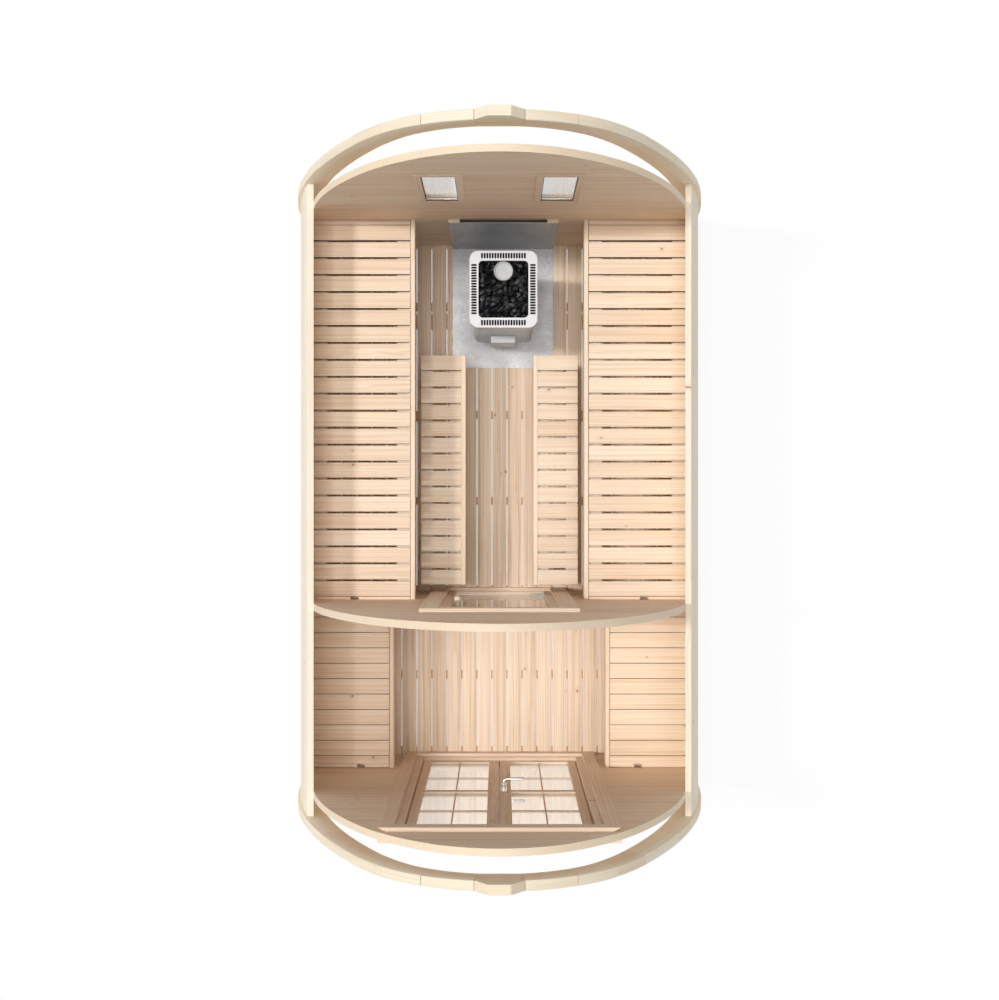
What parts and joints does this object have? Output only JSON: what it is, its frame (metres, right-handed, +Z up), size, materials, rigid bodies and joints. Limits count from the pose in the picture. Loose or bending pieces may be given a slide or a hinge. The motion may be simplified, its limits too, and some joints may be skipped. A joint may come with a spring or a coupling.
{
  "type": "sauna pod with its roof covering left off",
  "caption": "Arched timber sauna cabin without its roof skin: two end hoops, curved side walls, slatted benches, heater with shield, glass sauna door and glazed double front door.",
  "frame": {"origin": "on the ground under the middle of the pod", "axes": "+X to the right seen from the entrance, +Y from the entrance towards the hot room, +Z up"},
  "size_m": [2.408, 3.53, 2.675],
  "materials": {
    "hoop_timber": "planed pine, oiled",
    "wall_boards": "planed pine, untreated",
    "bench_boards": "planed aspen, untreated",
    "floor_boards": "planed pine, untreated",
    "base_timber": "sawn, impregnated",
    "joinery": "planed pine, untreated",
    "glass": "clear toughened",
    "chrome_fittings": "polished",
    "galvanised_sheet": "spangled zinc",
    "heater_steel": "satin light grey",
    "heater_enamel": "satin off-white",
    "stones": "rough dark stone"
  },
  "bodies": {
    "pod": {"skids": "base_timber", "floor_joists": "base_timber", "hot_room_floor": "floor_boards", "changing_room_floor": "floor_boards", "left_side_wall": "wall_boards", "right_side_wall": "wall_boards", "rear_wall": "wall_boards", "front_wall_left": "wall_boards", "front_wall_right": "wall_boards", "front_wall_head": "wall_boards", "front_wall_sill": "wall_boards", "partition_left": "wall_boards", "partition_right": "wall_boards", "partition_head": "wall_boards", "partition_sill": "wall_boards", "rear_hoop": "hoop_timber", "rear_ridge_block": "hoop_timber", "front_hoop": "hoop_timber", "front_ridge_block": "hoop_timber", "window_trims": "joinery", "window_sashes": "joinery", "window_panes": "glass", "front_door_frame": "joinery", "front_door_casings": "joinery", "sauna_door_frame": "joinery", "sauna_door_casings": "joinery", "upper_bench_slats_left": "bench_boards", "upper_bench_slats_right": "bench_boards", "upper_bench_rails": "wall_boards", "lower_bench_slats_left": "bench_boards", "lower_bench_slats_right": "bench_boards", "lower_bench_rails": "wall_boards", "porch_bench_slats_left": "bench_boards", "porch_bench_slats_right": "bench_boards", "porch_bench_rails": "wall_boards", "bench_ledgers": "wall_boards", "bench_legs": "wall_boards", "shield_battens": "wall_boards", "heat_shield": "galvanised_sheet", "floor_plate": "galvanised_sheet", "heater_body": "heater_steel", "heater_rim": "heater_enamel", "heater_stones": "stones", "heater_cup": "heater_enamel", "heater_control_box": "heater_steel", "frame_hinges": "chrome_fittings"},
    "front_door_left": {"left_leaf": "joinery", "left_leaf_panes": "glass", "left_leaf_hinges": "chrome_fittings"},
    "front_door_right": {"right_leaf": "joinery", "right_leaf_panes": "glass", "right_leaf_hinges": "chrome_fittings", "right_leaf_handle": "chrome_fittings"},
    "sauna_door": {"sauna_door_glass": "glass", "sauna_door_clamps": "chrome_fittings", "sauna_door_knobs": "joinery"}
  },
  "joints": [
    {"name": "front_door_left_hinge", "type": "hinge", "parent": "pod", "child": "front_door_left", "pos_m": [-0.465, -1.651, 1.131], "axis": [0, 0, -1], "range_deg": [0, 90]},
    {"name": "front_door_right_hinge", "type": "hinge", "parent": "pod", "child": "front_door_right", "pos_m": [0.465, -1.651, 1.131], "axis": [0, 0, 1], "range_deg": [0, 90]},
    {"name": "sauna_door_hinge", "type": "hinge", "parent": "pod", "child": "sauna_door", "pos_m": [0.264, -0.596, 0.94], "axis": [0, 0, 1], "range_deg": [0, 90]}
  ]
}
